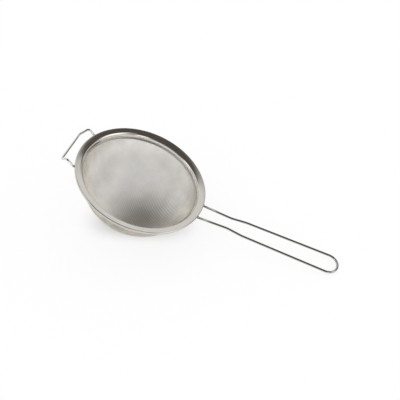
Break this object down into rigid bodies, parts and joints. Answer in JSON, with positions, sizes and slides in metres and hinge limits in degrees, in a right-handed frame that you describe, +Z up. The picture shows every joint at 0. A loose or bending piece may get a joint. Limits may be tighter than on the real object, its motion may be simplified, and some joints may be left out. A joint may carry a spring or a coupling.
{
  "type": "strainer",
  "caption": "Fine-mesh kitchen strainer: a round bowl of woven wire cloth clamped in a wide sheet rim, with a looped wire handle and a wire hook that rests on a pot.",
  "frame": {"origin": "middle of the part's footprint, on the table that it lies on", "axes": "+X from the rest hook to the tip of the handle, +Y across the rim, +Z up, with the strainer lying on its bowl and the tip of its handle"},
  "size_m": [0.3344, 0.16, 0.098],
  "materials": {
    "rim_sheet": "polished sheet, fine turning marks round the ring",
    "band_sheet": "satin strip",
    "wire_cloth": "plain-woven bright wire",
    "round_wire": "polished drawn wire"
  },
  "bodies": {
    "root": {"rim_ring": "rim_sheet", "clamp_band": "band_sheet", "mesh_bowl": "wire_cloth", "handle_wire": "round_wire", "rest_hook": "round_wire"}
  },
  "joints": []
}
